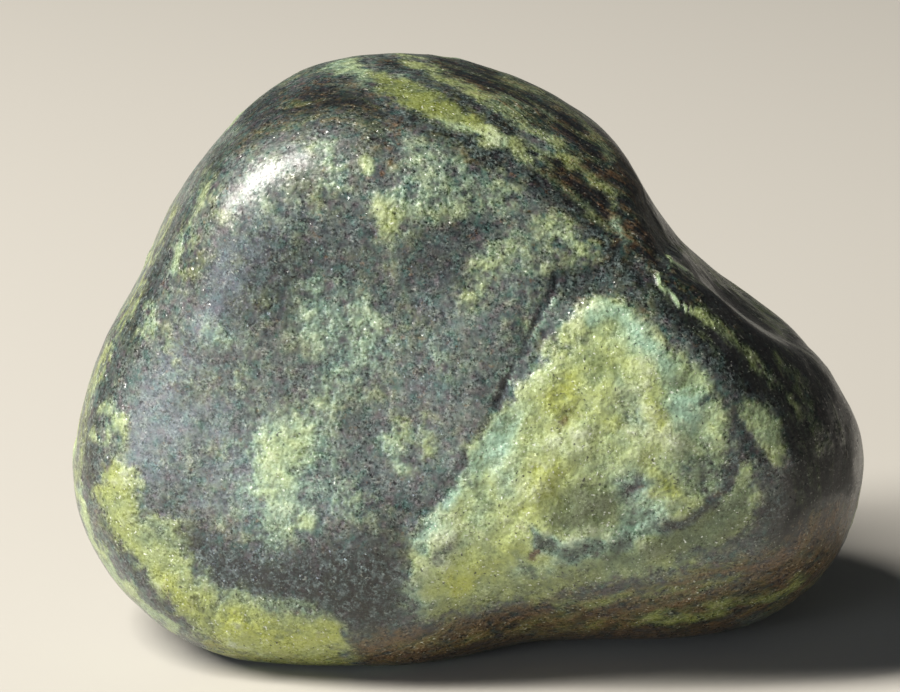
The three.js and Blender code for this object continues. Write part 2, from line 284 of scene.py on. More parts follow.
# Each mark sets any of: pale, how much of the rock is pale serpentine (the rest is dark matrix);
# hue, from blue-green 0 to yellow-green 1; ink, how black the matrix is; rust, how much is iron-stained;
# lumpy, how unevenly it has worn; banded, how much the rock's layers show. A steady mark is laid just as
# drawn, without the uneven edge. Later marks lie over earlier ones.
frontMarks = {
    # dark rock on the heel's top and right end, made blacker (ink 1.2) as painted shade on the side turned
    # from the light
    "heelTopDarkAndShade": area(0.9, [(12.5, 5.1), (15.8, 6.3), (19.1, 4.3), (22.4, 1.7), (25.4, -1.6), (27, -5.5),
        (27.3, -10.1), (26.3, -13.1), (23.4, -15.1), (20.7, -14.1), (21.9, -10.1), (22.4, -7.6), (21.2, -3.9),
        (19.2, -2.8), (16.7, 0.1), (13.8, 2.7)], ink=1.2, pale=0, hue=0.35, banded=0.4, lumpy=0.3),
    "crownBase": area(0.7, [(-1.3, 19), (4.6, 18), (9.2, 15.9), (12.5, 11.9), (14.3, 8), (13.8, 5.5),
        (11.6, 5.8), (7.6, 9.7), (5.1, 11.6), (7.6, 12.8), (2.2, 16.2), (-0.7, 17.5)], ink=0.95, pale=0.05,
        hue=0.2, rust=0.28, banded=0.6),
    "heelPatch": area(0.7, [(8.2, 1.8), (9.5, 2.8), (10.7, 3.3), (11.7, 2.6), (12.5, 1.3), (15.4, -1.1),
        (16.5, -1.8), (17.2, -2.6), (18, -4.2), (18.6, -6.2), (19.2, -7.2), (20, -8.2), (20.2, -9.6),
        (20.1, -11.1), (19.2, -12.2), (17.9, -13), (16.7, -13.6), (15.8, -14.5), (14.3, -14.9), (9.9, -15.7),
        (7.9, -15.9), (5.9, -16.5), (1.3, -17.2), (-0.7, -17.6), (-2.3, -17.8), (-3.2, -17.2), (-2.8, -16.1),
        (-3, -14.7), (-2.5, -13.3), (-2.8, -12.1), (-2.3, -11.3), (-0.8, -11.1), (0, -9.3), (1.3, -9),
        (1.1, -7.6), (1.1, -6.7), (5.1, -2.4), (5.7, -1.2)], pale=0.88, hue=0.5, ink=0.2, lumpy=1),
    "heelPatchDullTop": area(0.8, [(5.9, 0.4), (7.4, 1.6), (8.8, 1.6), (9.3, 0.4), (8.6, -0.7), (7.1, -1.4),
        (5.9, -1.1)], pale=0.6, hue=0.5, ink=0.3),
    "heelPatchWhiteTop": line(0.7, 0.7, [(9.7, 2.2), (11.2, 2.2)], hue=0.15, pale=0.9, ink=0),
    "heelPatchRightTeal": area(0.9, [(11.5, 1.8), (12.5, 1.3), (15.3, -1.3), (14.6, -2.1), (13.3, -1.4),
        (12.2, -0.4), (11.6, 0.7)], hue=0.1, pale=0.88),
    "heelPatchBright": area(0.9, [(8.8, -0.7), (10.1, -0.4), (11.3, -0.9), (11.2, -2), (9.7, -2.1),
        (8.7, -1.6)], hue=0.75, pale=1, ink=0),
    "yellowStreak": area(0.9, [(6.7, -2.5), (7.8, -1.8), (8.7, -2), (8.4, -3), (7.6, -4.1), (6.6, -4.2),
        (6.3, -3.4)], hue=0.9, pale=0.95),
    "oliveDent": line(0.35, 0.6, [(6.9, -5.4), (7.9, -4.5)], hue=0.9, ink=0.75, rust=0.3),
    "paleRidge": line(0.5, 0.7, [(10.1, -3.4), (10.7, -4.3), (10.8, -5.3)], hue=0.7, pale=1, ink=0),
    "greyOlive": area(0.9, [(11.3, -2.6), (13, -2.8), (13.3, -4.1), (12.8, -5.4), (11.6, -5.5), (10.9, -4.2)],
        hue=0.35, pale=0.62, ink=0.35),
    "rightTealWhite": area(0.9, [(14, -2.8), (15.8, -2.4), (17, -3.4), (17.2, -5.1), (16.5, -5.9), (15, -5.7),
        (14.1, -4.5)], hue=0.1, pale=0.86, ink=0.05),
    "rightYellow": line(0.4, 0.8, [(13.4, -3.6), (13.7, -5.3), (13.3, -6.8)], hue=0.85, pale=0.95),
    "leftTealWhite": area(0.8, [(1.3, -7), (2.2, -5.8), (3.4, -4.9), (4.5, -5.1), (4.1, -6.5), (2, -8.6),
        (1.2, -8.2)], hue=0, pale=0.86, ink=0.05),
    "leftTealLow": line(0.6, 0.6, [(0.1, -9.9), (-0.4, -11.1), (-1.7, -12.1), (-2.4, -13.3)], hue=0.1,
        pale=0.8),
    "leftTealEnd": line(0.6, 0.7, [(-2.6, -16.7), (-1.3, -17.5)], hue=0.1, pale=0.75),
    "yellowMiddle": area(1.1, [(5.3, -7.6), (7, -7.4), (8, -8.6), (7.4, -10.1), (5.9, -11.5), (4.7, -10.9),
        (4.6, -9.2)], hue=0.85, pale=0.95),
    "deepOlive": area(1, [(7.6, -9), (9.3, -8.6), (10.8, -9.3), (11.3, -10.9), (10.5, -12.2), (8.8, -12.8),
        (7.2, -12.5), (6.5, -11.3), (7, -10)], hue=0.45, pale=0.84, ink=0.85),
    "greyWhite": area(0.8, [(10.7, -8.7), (12.1, -8.3), (13.4, -9.1), (13.3, -10.3), (12.1, -10.7),
        (10.9, -10.1)], hue=0.15, pale=0.42, ink=0.35),
    "orangeSpot": line(0.5, 0.6, [(14.1, -9), (14.7, -9.5)], hue=1.15, pale=0.95, rust=0.12),
    # grey-green rock, darkened further (ink 0.65) as painted shade where the patch turns down from the light
    "rightGreyAndShade": area(1, [(15.1, -7), (16.9, -6.7), (18, -7.6), (17.8, -9.2), (16.7, -10.4), (15.5, -10.1),
        (14.9, -8.6)], hue=0.3, pale=0.52, ink=0.65),
    "tealDark": area(0.6, [(11.3, -11.2), (12.8, -10.7), (14, -11.2), (14.1, -12.1), (12.5, -12.6),
        (11.5, -12.4)], hue=0.05, pale=0.55, ink=0.6),
    "yellowLow": area(1.2, [(-1.3, -16.1), (-0.3, -14.9), (3.3, -12.6), (5, -12.8), (5.3, -13.8),
        (3.9, -14.9), (0.4, -16.7), (-1.1, -16.9)], hue=0.9, pale=1, ink=0),
    "orangeLow": line(0.35, 0.7, [(0.1, -15.4), (0.9, -16.1)], hue=1.15, rust=0.15),
    "greyGreenLow": line(0.8, 0.9, [(5.3, -15.3), (9.2, -14.6)], hue=0.3, pale=0.72, ink=0.3),
    # green rock below the streak, darkened (ink 0.85) as painted shade where the patch turns down from the
    # light
    "greenBelowAndShade": area(0.7, [(16.1, -12.8), (16.6, -11.7), (17.8, -11.1), (19.2, -10.7), (19.7, -11.2),
        (19, -12.2), (17.6, -13), (16.5, -13.4)], hue=0.6, pale=0.9, ink=0.85),
    # olive rock along the patch's bottom edge, darkened (ink 0.7) as painted shade where it turns under
    "lowOliveAndShade": area(1, [(4.6, -15.7), (7.2, -14.9), (9.9, -14.7), (9.9, -16.1), (3.3, -17.1), (-1.3, -18),
        (-2, -17.4)], ink=0.7, hue=0.7),
    # painted shade: the lower right of the patch darkened (ink 0.8) where it turns down from the light
    "lowShade": area(1.2, [(17.8, -10.1), (19.9, -9.5), (19.9, -11.5), (18.4, -13.3), (15.8, -14.5),
        (9.2, -15.4), (9.9, -14.1)], ink=0.8, hue=0.45),
    "rightMottle": line(0.3, 0.5, [(17.9, -6.2), (18.6, -7.2), (18.3, -8.3)], pale=0.15, ink=0.85),
    "tealStreakHaze": line(0.45, 0.7, [(6.3, -13.2), (8, -13.6), (9.9, -13.2), (11.8, -12.6), (13.3, -11.7),
        (14.3, -10.8)], pale=0.6, ink=0.4, hue=-0.1),
    "lowDab1": line(0.22, 0.4, [(-0.7, -14.2), (-0.1, -13.4)], pale=0.3, ink=0.7, hue=0.3),
    "lowDab2": line(0.2, 0.35, [(15.3, -13.9), (16.3, -13.6)], pale=0.25, ink=0.8, hue=0.1),
    "tealStreak": line(0.15, 0.42, [(5.5, -12.2), (6, -13), (7, -13.6), (8, -14), (8.8, -13.7), (9.3, -13.3),
        (10.1, -13.4), (11.5, -13.2), (12.5, -12.8), (14.3, -11.8)], pale=0.22, ink=0.8, hue=-0.3),
    "tealStreakOn": line(0.3, 0.36, [(14.3, -11.8), (15.4, -11.8), (16.5, -11.1), (17.4, -10.3), (18.3, -9.3),
        (18.8, -8.3), (19.1, -7.5)], pale=0.02, ink=0.85, rust=0.15, steady=1),
    "rightStreak": line(0.36, 0.46, [(18.9, -4.3), (19.2, -5.5), (19.9, -6.6), (20.5, -7.4), (20.9, -8.4),
        (21.2, -9.6), (20.9, -11.5), (20.3, -12.8)], pale=0.03, ink=0.85),
    "shortStreak": line(0.2, 0.23, [(16.5, -4.1), (16.9, -3.4), (17.6, -3.3), (18.3, -3.9)], pale=0.15,
        ink=0.7),
    "patchSpot": line(0.32, 0.29, [(-0.7, -14.1), (0, -13.1)], pale=0.3, ink=0.5),
    "patchNick": line(0.12, 0.17, [(-2.1, -11.1), (-0.5, -11.1)], pale=0.2, ink=0.6),
    "rightSliver": area(0.45, [(19.4, -3.3), (20.1, -3.4), (21.6, -4.9), (22, -6.2), (22.2, -7.4),
        (21.7, -7.9), (21.2, -7.6), (20.8, -6.8), (19.6, -5.1), (19.2, -4.3)], pale=0.85, hue=0.4, ink=0.4),
    "endStripe1": line(0.3, 0.4, [(15.4, 6.6), (16.5, 5.5), (18.1, 4.3), (19.7, 3.3), (21.9, 1.2)], pale=0.55,
        hue=0.65, ink=0.7),
    "endStripe2": line(0.24, 0.29, [(16.5, 2.2), (17.8, 1.3), (19.1, 0.2), (20.1, -0.9), (21.1, -2.2),
        (23.1, -4.3)], pale=0.6, hue=0.45, ink=0.7),
    "endStripe3": line(0.24, 0.34, [(21.5, -0.7), (24, -3.9), (24.5, -5.3), (24.7, -6.7)], pale=0.45, hue=0.4,
        ink=0.8),
    "endStripe4": line(0.2, 0.34, [(23.3, -4.1), (23.9, -5.4), (24.2, -7)], pale=0.35, hue=0.4, ink=0.8),
    "endStripe5": line(0.16, 0.34, [(24.7, -3), (25.5, -4.7), (25.8, -6.2)], pale=0.3, hue=0.4, ink=0.8),
    "crownBandStart": line(0.55, 0.5, [(-7.5, 18.4), (-6.2, 18.2), (-4.9, 17.6)], pale=0.6, hue=0.25,
        ink=0.3),
    "crownBand": area(0.45, [(-5.4, 18), (-3.8, 17.8), (-0.1, 16.7), (0.8, 16.1), (2.6, 14.6), (4.7, 13.4),
        (4.6, 12.6), (3.3, 12.8), (2.2, 13.2), (0, 13.8), (-1.1, 14.3), (-3, 15.6), (-4.9, 17.1)], pale=0.84,
        hue=0.85, ink=0.75, lumpy=0.4),
    "crownBandPale": line(0.5, 0.6, [(-0.3, 14.6), (1.6, 14), (3.3, 13.3)], hue=0.35, ink=0.2),
    "crownBandEnd": line(0.45, 0.5, [(4.3, 13.2), (5.9, 12.5), (7.6, 11.6)], pale=0.62, hue=0.5, ink=0.55),
    "crownBandBrown": line(0.3, 0.4, [(1.3, 15.4), (2.6, 14.9), (3.9, 14.2)], rust=0.35, ink=0.6),
    "wisp1": line(0.05, 0.16, [(-2.7, 17.6), (-0.8, 17), (0.9, 15.7), (5.6, 12.6), (7.4, 11.6)], pale=0,
        ink=0.9, rust=0.25),
    "wisp2": line(0.06, 0.16, [(4.6, 15.4), (6.5, 13.8), (8, 12.4), (9.3, 10.7), (10.3, 9.1)], pale=0,
        ink=0.9, rust=0.2),
    "wisp3": line(0.05, 0.16, [(8, 13.1), (9.3, 11.7), (10.3, 10.3), (11, 8.8)], pale=0, ink=0.95),
    "wisp4": line(0.05, 0.16, [(-0.8, 18.5), (1.3, 17.8), (3.2, 16.6), (4.9, 15.9)], pale=0, ink=0.9),
    "wisp5": line(0.06, 0.18, [(-3.6, 14.9), (-1.7, 14), (-0.1, 12.9), (1.7, 11.8), (3.3, 11.2), (5.3, 10.1)],
        pale=0, ink=0.8, rust=0.3),
    "crownStripe2": line(0.3, 0.34, [(-3.8, 18.7), (-2, 18.3), (1.2, 16.9), (2.4, 16.2)], pale=0.75, hue=0.6,
        ink=0.5),
    "crownStripe3": line(0.32, 0.34, [(3, 15.7), (7.2, 13.2), (8.3, 12.1)], pale=0.7, hue=0.5, ink=0.5),
    "crownStripe4": line(0.3, 0.34, [(3.3, 16.2), (5, 15.8), (6.5, 15)], pale=0.65, hue=0.3, ink=0.6),
    "crownStripe5": line(0.34, 0.4, [(3.3, 17.5), (5.3, 16.9), (7.2, 15.9), (8.8, 14.6), (9.9, 13.4),
        (10.7, 12.2)], pale=0.6, hue=0.45, ink=0.6),
    "crownStripe6": line(0.26, 0.34, [(7, 13), (8.2, 11.8), (9.3, 11.1), (10.3, 10.1), (10.9, 9.1)], pale=0.7,
        hue=0.6, ink=0.6),
    "crownStripe7": line(0.22, 0.29, [(9.2, 9.2), (10, 8.2), (10.7, 7)], pale=0.6, hue=0.6, ink=0.6),
    "crownDark1": line(0.41, 0.71, [(-4.3, 15.8), (-3.2, 15), (-1.8, 14.5), (-0.5, 13.8), (1.3, 13.4),
        (7.2, 9.9), (8.4, 8.8), (9.3, 7.8), (10.9, 5.5)], pale=0, ink=0.95, rust=0.12),
    "crownDark2": line(0.24, 0.55, [(-4.7, 18.6), (-3.3, 18.3), (-2, 17.8), (2, 15.6), (4.1, 14.2)], pale=0,
        ink=0.95, rust=0.1),
    "crownDark3": line(0.22, 0.6, [(0, 18.4), (2, 17.8), (4.1, 16.7), (6.3, 15.7), (8, 14.6), (9.2, 13.2),
        (10.1, 11.6)], pale=0, ink=1, rust=0.1),
    "crownDark4": line(0.23, 0.54, [(7.2, 11.5), (8.6, 10.3), (9.7, 9.6), (10.5, 8.2), (11.1, 6.7)],
        pale=-0.05, ink=1.1),
    "upperPatch": area(1.1, [(-2.1, 11.7), (-0.7, 12.4), (0.7, 12.1), (2.2, 10.3), (2, 9.2), (0.8, 8.7),
        (-0.7, 8.8), (-1.7, 8.3), (-3, 8.2), (-3.4, 7), (-4.1, 6.5), (-4.9, 8.6), (-5.5, 9.2), (-3.7, 10.4)],
        pale=0.54, hue=0.35, ink=0.3),
    "upperPatchYellow": line(0.5, 0.9, [(-4.9, 9.3), (-3.8, 8.8), (-3.9, 7.8)], pale=0.68, hue=0.65),
    "upperPatchHalo": area(1.6, [(-3, 13.6), (-0.9, 13.7), (1.3, 12.6), (4.6, 9.9), (4.1, 8.4), (2.2, 8.8),
        (-0.7, 8.4), (-3.3, 9.6), (-3.4, 11.6)], pale=0.36, hue=0.25),
    "browSpot": line(0.5, 0.34, [(-5.5, 12.4), (-5.5, 11.6)], pale=0.75, hue=0.45),
    "saddlePatch": area(1, [(5.9, 8.2), (7, 8.6), (9.5, 6.6), (9.9, 5.8), (9.2, 5.3), (7.2, 6.3), (6.5, 7)],
        pale=0.6, hue=0.42, ink=0.2),
    "innerPatch": area(1.1, [(2.1, 6.3), (3.3, 6.7), (4.3, 6.2), (3.3, 4.5), (3, 3.6), (2.4, 2.8), (1.4, 2.6),
        (0.8, 3.2), (1.3, 3.8), (1.7, 4.9), (1.8, 5.8)], pale=0.54, hue=0.4, ink=0.2),
    "innerHaze": area(1.6, [(3.3, 7.6), (5.9, 7.2), (8, 5.5), (5.3, 2), (4.6, 3), (3.7, 5.7)], pale=0.3,
        hue=0.35),
    "saddleDark": area(0.8, [(7.2, 4.9), (9.2, 5.5), (11.2, 5.3), (12.5, 3.9), (13.6, 2), (12.5, 1.8),
        (11.2, 3.2), (9.6, 3.3), (8.2, 2.6), (7.1, 3.3)], pale=0.1, ink=0.75),
    "saddleLip": line(0.42, 0.74, [(10.7, 5.8), (12.5, 4.6), (17.5, -0.4), (19, -2.5), (19.9, -3)], pale=0.06,
        ink=1),
    # painted shadow: the notch's wall, shaded by the crown, is painted black here (ink 1.3, no pale rock)
    "notchPaintedShadow": area(0.6, [(10.7, 14.3), (11.3, 12.9), (13.1, 7), (13.6, 5.8), (13.8, 5.1), (14.3, 5.1),
        (14.5, 5.9), (15.4, 6.8), (14.9, 7.9), (14.1, 8.8), (12.2, 12.2), (11.5, 13.8)], pale=0, ink=1.3,
        banded=0.25, hue=0.3),
    "lipShelf": area(0.2, [(13.8, 4.5), (14.5, 5.1), (15.4, 4.7), (16.1, 4.1), (17, 2.8), (15.9, 2.5),
        (15.1, 3), (14.3, 3.7)], steady=1, pale=0.05, ink=0.9, rust=0.2),
    # painted highlights: the pale lines on the chips' lips stand for their edges catching the light
    "lipHighlight2": line(0.1, 0.09, [(13.7, 4.6), (13.8, 4.1), (14.3, 3.6), (14.8, 3.1), (15.3, 2.6), (15.8, 2.3),
        (16.6, 2.1)], steady=1, pale=1.35, hue=0.35, ink=0),
    "lipHighlight2End": line(0.06, 0.12, [(16.6, 2.1), (17.5, 1.3)], steady=1, pale=0.8, hue=0.5, ink=0.5),
    "lipHighlight1": line(0.1, 0.09, [(14.5, 5.9), (14.7, 5.5), (15.6, 4.9)], steady=1, pale=1.2, hue=0.3,
        ink=0.1),
    "lipHighlight1End": line(0.05, 0.12, [(15.6, 4.9), (16, 4.6), (16.1, 4.2)], steady=1, pale=0.6, hue=0.3,
        ink=0.5),
    "lipHighlightLink": line(0.05, 0.12, [(13.7, 4.6), (14.5, 5.2)], steady=1, pale=0.45, hue=0.3, ink=0.5),
    "facetTeal": line(0.3, 0.3, [(10.9, 8.3), (11.7, 6.5)], pale=0.6, hue=0.1, ink=0.4),
    "grooveLeftLight": line(0.1, 0.16, [(6.3, 3.3), (5.1, 1.1), (4.6, -0.1), (2.6, -3.4)], pale=0.5, ink=0,
        hue=0),
    "groove": line(0.2, 0.26, [(7, 4.6), (6.5, 3.5), (6, 2.5), (5.6, 1.5), (5.1, 0.5), (4.9, -0.4),
        (4.3, -1.3), (3.8, -2.1), (3.4, -2.9), (3, -3.7)], pale=-0.1, ink=0.95, rust=0),
    "grooveBlue": line(0.1, 0.16, [(6.7, 3), (6.2, 1.8), (5.2, -0.2), (3.8, -2.5)], pale=0.6, ink=0,
        hue=-0.2),
    # the groove's dark seam carried on along the patch's left edge, partly painted shade beside the patch
    "grooveOnAndShade": line(0.2, 0.6, [(2.9, -3.8), (2.1, -5.4), (0.9, -7), (0.4, -8.7), (-0.7, -10.1),
        (-2.6, -10.9)], pale=0, ink=0.85),
    "grooveRight": line(0.16, 0.23, [(6.3, 0.8), (5.8, -0.4), (5.1, -1.4)], pale=0.3, ink=0.7, rust=0.25),
    "centreHaze": area(1.6, [(-9.6, 4.1), (-7.8, 4.2), (-4.3, 2.6), (-3.6, 1.1), (-3.6, -0.9), (-4.9, -2.5),
        (-6.6, -3.3), (-7.5, -4.9), (-8.7, -4.9), (-8.8, -2.9), (-9.6, -0.9), (-10.1, 1.1)], pale=0.28,
        hue=0.05),
    "centreCore": area(1.3, [(-7.4, 2.6), (-6.2, 2.8), (-5, 1.8), (-4.3, 0.4), (-5, -0.8), (-6.2, -1.1),
        (-7, 0), (-7.6, 1.3)], pale=0.46, hue=0.25),
    "centreArm": line(0.5, 0.8, [(-9.1, 3.9), (-8.7, 2.6), (-9.1, 1.2)], pale=0.46, hue=0.2),
    "centreLeg": line(0.55, 0.8, [(-7.9, -2.5), (-8.3, -3.8)], pale=0.46, hue=0.35),
    "lowHaze": area(1.6, [(-13.8, -6.2), (-12.4, -4.5), (-9.9, -4.1), (-7.9, -5.1), (-7.2, -6.8),
        (-7.9, -8.8), (-9.9, -12.5), (-11.8, -12.8), (-13.6, -11.5), (-14.3, -9.5)], pale=0.34, hue=0.05),
    "lowPatch": area(0.9, [(-12.6, -6.3), (-11.7, -5.4), (-10.5, -5.8), (-9.9, -5), (-9, -5.3), (-8.8, -6.3),
        (-8.8, -7.4), (-9.5, -7.9), (-10, -8.6), (-10.3, -9.6), (-11.1, -10.3), (-12.1, -10.4), (-13, -10),
        (-12.9, -9.1), (-12.4, -8.3), (-12.8, -7.4)], pale=0.77, hue=0.4),
    "lowSpot": line(0.5, 0.46, [(-9.9, -11.2), (-9.7, -11.7)], pale=0.7, hue=0.35),
    "lowTeal": area(1.1, [(-13.3, -12.4), (-11.7, -11.8), (-10.5, -12.5), (-11.6, -15.4), (-12.9, -16.1),
        (-13.3, -14.5)], pale=0.5, hue=0.1),
    "midPatch": line(0.75, 0.9, [(-3.4, -5.7), (-1.8, -5.9)], pale=0.5, hue=0.45),
    "midPatchTail": line(0.6, 0.69, [(-4.3, -6.2), (-3.3, -7.5)], pale=0.42, hue=0.2),
    "rightHaze": area(1.28, [(2.2, 0.4), (4.1, 1.1), (4.3, -0.3), (3.3, -1.7), (2, -1.7)], pale=0.12,
        hue=0.45),
    "haze1": line(0.7, 0.8, [(-15.7, 1.6), (-15.5, 0.8)], pale=0.35, hue=0.2),
    "haze2": line(0.8, 1.2, [(-13.2, 10.3), (-9.9, 7.6)], pale=0.22, hue=0.2),
    "haze3": line(0.8, 0.92, [(-8.6, 12.9), (-7.5, 11.2), (-6.5, 10.3)], pale=0.4, hue=0.25),
    "haze4": line(0.9, 0.92, [(-6.6, -10.1), (-5.1, -11.5)], pale=0.4, hue=0.25),
    "haze5": line(0.6, 0.69, [(-0.9, -1.1), (-0.7, -2)], pale=0.35, hue=0.2),
    "lowInk": area(1.92, [(-20, -11.7), (-18.4, -11.5), (-15.1, -13.3), (-9.9, -13.8), (-4.6, -12.8),
        (-3.2, -13.8), (-3, -17.4), (-4.6, -19.4), (-7.2, -18.4), (-12.5, -17.1), (-15, -16.7),
        (-16.5, -15.4), (-17.8, -13.8)], ink=1, pale=0.04),
    "edgeInk": area(1.28, [(-5.1, -10.8), (-3, -10.1), (-2.2, -11.2), (-2.6, -13.3), (-3.4, -14.1),
        (-4.9, -13.3)], ink=0.6, pale=0.1),
    # darker rock on the left of the face, partly painted shade that takes down the sheen there
    "midInkAndShade": area(2, [(-16.7, 6.3), (-14.1, 8), (-9.9, 7.8), (-7.9, 6.3), (-9.2, 3), (-11.8, 1.1),
        (-14.5, 1.1), (-16.5, 3)], ink=0.72),
    "centreInk": area(1.92, [(-8.6, 7.2), (-5.1, 7.5), (-4.1, 5.5), (-4.6, 3.6), (-7, 3.8), (-8.4, 5)],
        ink=0.5),
    "upperInk": area(1.6, [(-3.3, 7.5), (1.3, 8.6), (3.3, 8.2), (1.6, 5.9), (0.8, 3.7), (-1.3, 3), (-3, 3.9),
        (-3.4, 5.9)], ink=0.62),
    "browInk": area(1.6, [(-14, 15.4), (-12, 16.7), (-8.6, 17.9), (-5.1, 17), (-3.9, 15.5), (-4.2, 12.9),
        (-6.5, 14.3), (-9.2, 14.6), (-11.5, 14.5), (-13.7, 12.9)], ink=0.9, pale=0.06, rust=0.2, banded=0.4),
    "rimPale": line(0.3, 0.35, [(-18, 8.8), (-19.1, 6.6), (-20.3, 3.9), (-22.6, -0.7), (-23.6, -3.3),
        (-24.2, -5.5), (-24.6, -8.2), (-24.5, -10.1)], pale=0.58, hue=0.65, ink=0.6),
    "rimDark": line(0.36, 0.46, [(-14.7, 12.9), (-16.2, 10.8), (-17.6, 8.4), (-18.7, 6.3), (-22.2, -2.1),
        (-23.1, -3.8), (-23.7, -5.5), (-23.7, -7.2), (-23.4, -9.1), (-22.9, -10.9), (-22, -12.9),
        (-20.7, -14.9), (-19.2, -16.6), (-17.8, -17.9), (-16.1, -19.1)], pale=0.05, ink=0.85),
    "rimPale2": line(0.28, 0.3, [(-24.4, -9.5), (-24, -11.5), (-23.3, -13.3), (-22.2, -15), (-21.1, -16.5),
        (-18.3, -18.7)], banded=0.5, pale=0.85, hue=0.45, ink=0.1),
    "rimStripe": line(0.3, 0.5, [(-15.8, 11.2), (-17.5, 7.4)], pale=0.4, hue=0.3, ink=0.5),
    "rimStripe2": line(0.3, 0.5, [(-17.8, 7), (-18, 5.5), (-18.7, 3.7)], pale=0.42, hue=0.25, ink=0.4),
    "rimSpot1": line(0.4, 0.45, [(-19.8, 2.1), (-20, 0.7)], pale=0.5, hue=0.35, ink=0.4),
    "rimSpot2": line(0.65, 0.45, [(-22.2, -4.5), (-22.5, -6.2)], pale=0.62, hue=0.45, ink=0.4),
    "rimMottle": line(0.5, 0.6, [(-21.1, -0.3), (-21.9, -2.5)], pale=0.16, hue=0.35, ink=0.6),
    "footBand": area(0.65, [(-22.8, -8.2), (-21.7, -7.6), (-20.8, -8.2), (-20.5, -9.2), (-20.7, -10.5),
        (-21.2, -11.2), (-20.7, -11.7), (-19.7, -11.5), (-18.8, -12), (-18.3, -11.7), (-17.8, -12.8),
        (-17.6, -13.8), (-16.9, -14.2), (-16.3, -15.5), (-15.4, -16.1), (-15, -16.9), (-13.8, -16.7),
        (-12.6, -17.1), (-11.2, -17.2), (-9.9, -17.4), (-8.7, -17.9), (-7.6, -17.8), (-6.6, -19.1),
        (-6.8, -20), (-8.6, -20.8), (-10.5, -20.8), (-13.2, -20.4), (-15.1, -19.9), (-16.5, -19.1),
        (-17.4, -18.2), (-19.2, -16.1), (-20.4, -14.9), (-22.4, -12.4), (-23, -11.1), (-23.3, -9.6)],
        pale=0.88, hue=0.75, ink=0.5, lumpy=0.45),
    "footBandEdge": line(0.3, 0.7, [(-20.4, -11.5), (-18.4, -12.1), (-16.7, -14.2), (-15, -16.6),
        (-9.2, -17.5)], hue=0.3, pale=0.7),
    "footBandDark": line(0.18, 0.4, [(-16.7, -16.7), (-16.1, -17.5), (-15.7, -18.6)], ink=0.8, pale=0.4),
    "footBandWarm": line(0.6, 0.9, [(-14.5, -18.6), (-11.2, -19.4), (-7.9, -19.5)], hue=1.05, rust=0.12,
        ink=0.35),
    "footUnder": line(0.5, 0.7, [(-15.5, -20), (-12.5, -20.8), (-6.6, -20.9)], ink=0.55, rust=0.32, pale=0.7,
        hue=1.1),
    "footBandYellow": line(0.8, 0.69, [(-22.2, -9.1), (-21.9, -10)], hue=0.85, ink=0.5),
    "footBandPale": line(0.6, 0.69, [(-20.7, -12.5), (-19.4, -13.8), (-18, -14.9)], hue=0.5),
    "footBandOrange": line(0.5, 0.57, [(-18.6, -15.5), (-17.6, -17)], hue=1, rust=0.18),
    "underBrown": area(0.8, [(-6.6, -19.4), (-3.3, -18.6), (1.3, -17.8), (9.9, -16.1), (14.5, -15.4),
        (19.1, -14.1), (22.4, -12.5), (25, -10.1), (27.4, -10.1), (26.9, -14.1), (25, -16.7), (19.1, -18.2),
        (20.4, -19.4), (12.5, -20.8), (5.9, -20.9), (-0.7, -21.5), (-5.9, -21.7)], pale=0.2, ink=0.85,
        rust=0.5, hue=1, banded=0.45),
    "underStreak": line(0.35, 0.4, [(12.5, -18.3), (15.8, -17.8), (19.1, -17.1), (21.4, -16.5), (23, -15.5)],
        pale=0.6, hue=0.95, ink=0.6, rust=0.1),
    "underStreak2": line(0.25, 0.4, [(7.2, -17.1), (15.1, -16.1), (19.1, -15.3)], pale=0.45, hue=0.95,
        ink=0.6, rust=0.15),
    "underStreak3": line(0.3, 0.46, [(-3.3, -20), (5.9, -18.7), (9.9, -18.3)], pale=0.45, hue=0.95, ink=0.6),
    "rustVein": line(0.15, 0.26, [(-4.5, 16.5), (-3.9, 15.4), (-3.6, 14.1), (-3.7, 12.9), (-4.2, 11.8),
        (-5, 10.4)], rust=0.49, ink=0.6),
    "rustVein2": line(0.12, 0.26, [(-5.1, 12.9), (-4.1, 13)], rust=0.385),
    "rustArc": line(0.2, 0.34, [(-9.9, 17.1), (-7.9, 17.5), (-6.2, 17), (-4.7, 16.3)], rust=0.385, ink=0.7),
    "rustArc2": line(0.2, 0.34, [(-14.1, 12.9), (-13, 13.8), (-10.8, 15), (-8.8, 15.8)], rust=0.315, ink=0.7),
    "rustArc3": line(0.18, 0.34, [(-8.7, 14.7), (-6.7, 15), (-4.3, 14.6)], rust=0.315, ink=0.7),
    "rustCrown": line(0.22, 0.34, [(0.1, 12.9), (1.4, 12.2), (2.2, 12.1)], rust=0.35, ink=0.7),
    "rustCrown2": line(0.16, 0.34, [(6.7, 14.3), (7.6, 13.7), (8.3, 12.8)], rust=0.315, ink=0.6),
    "rustTop": line(0.14, 0.34, [(-4.9, 18.7), (-3, 18.6)], rust=0.35),
    "rustSpot1": line(0.22, 0.23, [(7.5, -4.9), (7.2, -5.7)], rust=0.5, pale=0.6),
    "rustSpot2": line(0.2, 0.17, [(5.7, -13.5), (5.5, -14)], rust=0.8, pale=0.2, ink=0.8),
    "rustSpot3": line(0.3, 0.34, [(4.2, -12.4), (4.9, -12)], rust=0.3),
    "rustSpot4": line(0.3, 0.29, [(12.5, 2.1), (13, 1.8)], rust=0.4),
    "rustSpot5": line(0.15, 0.23, [(-5.1, -10.8), (-5.3, -12)], rust=0.45),
}

# Noise in layers is read along this slope, in shares of how far across the layers a point lies.
layerSlopes = (0.62, 0.5, 0.6)

